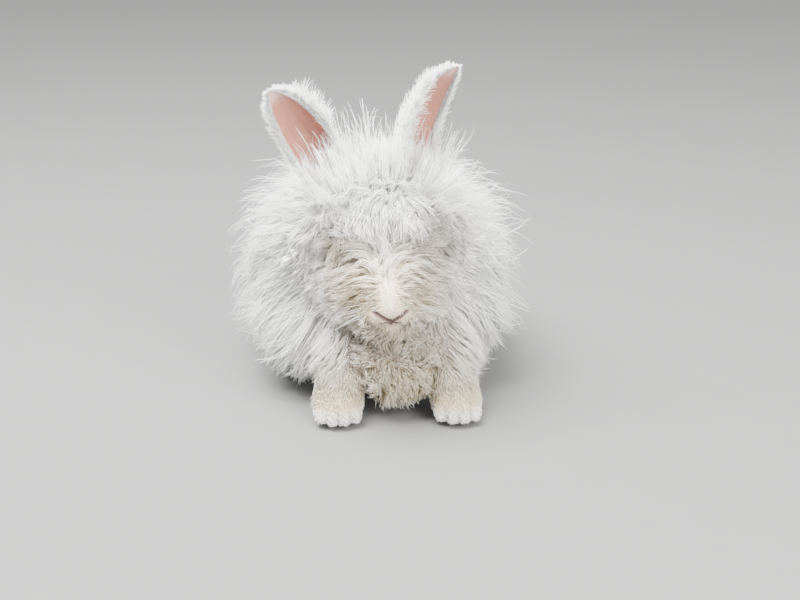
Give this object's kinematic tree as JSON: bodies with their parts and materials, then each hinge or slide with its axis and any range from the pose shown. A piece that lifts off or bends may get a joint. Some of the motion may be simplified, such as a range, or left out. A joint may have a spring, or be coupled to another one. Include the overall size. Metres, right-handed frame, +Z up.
{
  "type": "angora rabbit",
  "caption": "Life-size still model of a long-haired white rabbit sitting on the floor, facing forwards, with its ears up and a matted bib over its forepaws.",
  "frame": {"origin": "on the floor, under the middle of the coat's bounding box", "axes": "+Z up, the rabbit faces -Y, its own left side is +X"},
  "size_m": [0.2415, 0.3292, 0.2858],
  "materials": {
    "wool": "matt white long wool, stained cream on the face and grey-brown on the bib",
    "ear_skin": "bare pink skin inside a short white furred rim",
    "eye": "wet, dark ruby"
  },
  "bodies": {
    "root": {"head": "wool", "ear_right": "ear_skin", "ear_left": "ear_skin", "eye_right": "eye", "eye_left": "eye", "neck": "wool", "chest": "wool", "torso": "wool", "tail": "wool", "front_leg_right": "wool", "front_leg_left": "wool", "hind_leg_right": "wool", "hind_leg_left": "wool"}
  },
  "joints": []
}
